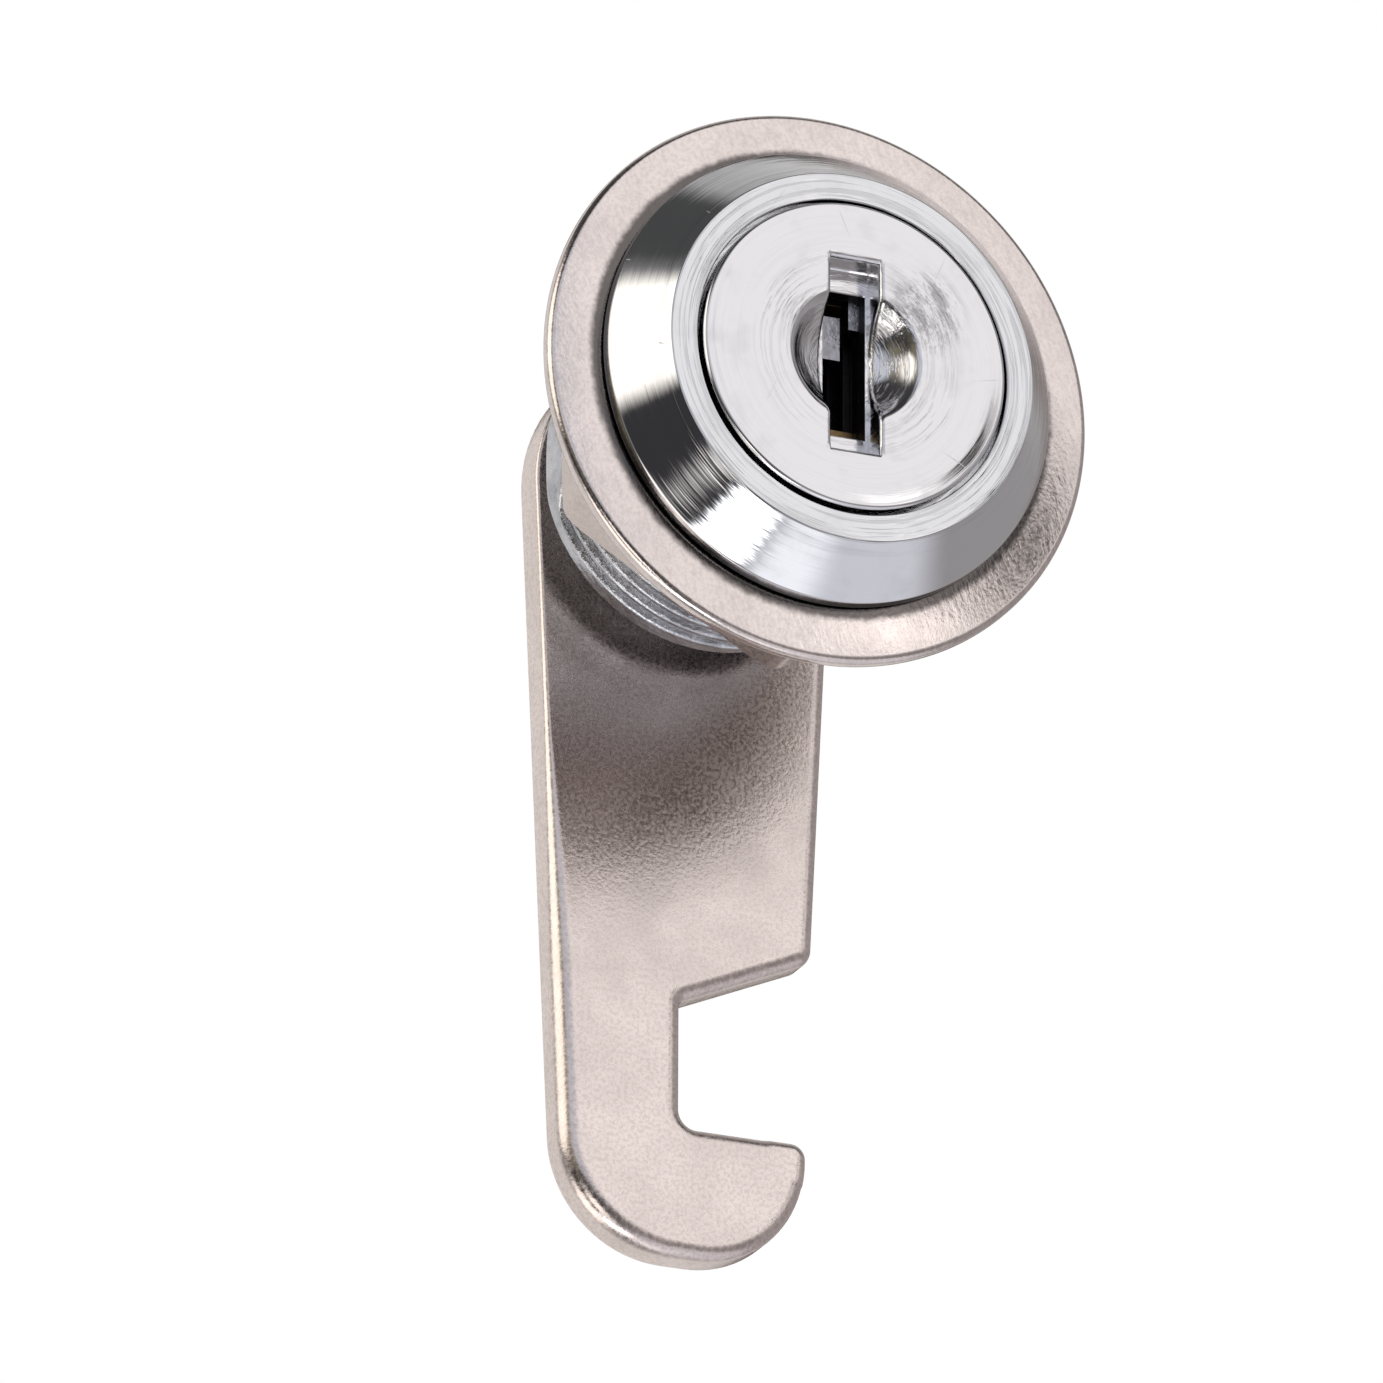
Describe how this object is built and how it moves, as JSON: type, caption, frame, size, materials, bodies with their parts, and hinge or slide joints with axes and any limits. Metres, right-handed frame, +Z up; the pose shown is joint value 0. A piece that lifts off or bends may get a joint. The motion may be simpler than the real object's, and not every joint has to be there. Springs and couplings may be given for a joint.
{
  "type": "cam lock",
  "caption": "Wafer cam lock: bevelled chrome head, threaded double-D barrel with trim collar and nut, and a keyed plug that turns a hooked cam.",
  "frame": {"origin": "on the lock's axis, in the plane where the trim collar seats on the door", "axes": "+Y along the lock's axis from the face to the cam, +Z up, +X to the right seen from the front, the way the cam's notch opens"},
  "size_m": [0.028, 0.0266, 0.0528],
  "materials": {
    "housing_chrome": "bright chrome plate on die-cast zinc",
    "plug_chrome": "chrome plate with fine turning marks",
    "collar_satin_nickel": "satin nickel, finely brushed",
    "nut_satin_nickel": "satin nickel",
    "cam_satin_nickel": "satin nickel, stamped",
    "wafer_brass": "stamped brass",
    "spring_steel": "drawn wire",
    "washer_steel": "zinc plate",
    "screw_steel": "zinc plate"
  },
  "bodies": {
    "housing": {"housing": "housing_chrome", "trim_collar": "collar_satin_nickel"},
    "mounting_nut": {"mounting_nut": "nut_satin_nickel"},
    "plug": {"plug": "plug_chrome", "stop_washer": "washer_steel", "cam": "cam_satin_nickel", "cam_washer": "washer_steel", "lock_washer": "washer_steel", "cam_screw": "screw_steel", "retaining_spring": "spring_steel", "wafer_spring_1": "spring_steel", "wafer_spring_2": "spring_steel", "wafer_spring_3": "spring_steel", "wafer_spring_4": "spring_steel", "wafer_spring_5": "spring_steel"},
    "wafer_1": {"wafer_1": "wafer_brass"},
    "wafer_2": {"wafer_2": "wafer_brass"},
    "wafer_3": {"wafer_3": "wafer_brass"},
    "wafer_4": {"wafer_4": "wafer_brass"},
    "wafer_5": {"wafer_5": "wafer_brass"},
    "retaining_wafer": {"retaining_wafer": "wafer_brass"}
  },
  "joints": [
    {"name": "plug_turn", "type": "hinge", "parent": "housing", "child": "plug", "pos_m": [0, 0, 0], "axis": [0, -1, 0], "range_deg": [0, 90]},
    {"name": "nut_travel", "type": "slide", "parent": "housing", "child": "mounting_nut", "axis": [0, 1, 0], "range_m": [0, 0.007]},
    {"name": "wafer_1_slide", "type": "slide", "parent": "plug", "child": "wafer_1", "axis": [0, 0, 1], "range_m": [0, 0.00075], "stiffness_N_per_m": 60, "springref_m": 0.002, "deforming": ["wafer_spring_1"]},
    {"name": "wafer_2_slide", "type": "slide", "parent": "plug", "child": "wafer_2", "axis": [0, 0, -1], "range_m": [0, 0.00075], "stiffness_N_per_m": 60, "springref_m": 0.002, "deforming": ["wafer_spring_2"]},
    {"name": "wafer_3_slide", "type": "slide", "parent": "plug", "child": "wafer_3", "axis": [0, 0, 1], "range_m": [0, 0.00075], "stiffness_N_per_m": 60, "springref_m": 0.002, "deforming": ["wafer_spring_3"]},
    {"name": "wafer_4_slide", "type": "slide", "parent": "plug", "child": "wafer_4", "axis": [0, 0, -1], "range_m": [0, 0.00075], "stiffness_N_per_m": 60, "springref_m": 0.002, "deforming": ["wafer_spring_4"]},
    {"name": "wafer_5_slide", "type": "slide", "parent": "plug", "child": "wafer_5", "axis": [0, 0, 1], "range_m": [0, 0.00075], "stiffness_N_per_m": 60, "springref_m": 0.002, "deforming": ["wafer_spring_5"]},
    {"name": "retaining_wafer_slide", "type": "slide", "parent": "plug", "child": "retaining_wafer", "axis": [0, 0, 1], "range_m": [0, 0.00095], "stiffness_N_per_m": 60, "springref_m": -0.002, "deforming": ["retaining_spring"]}
  ]
}
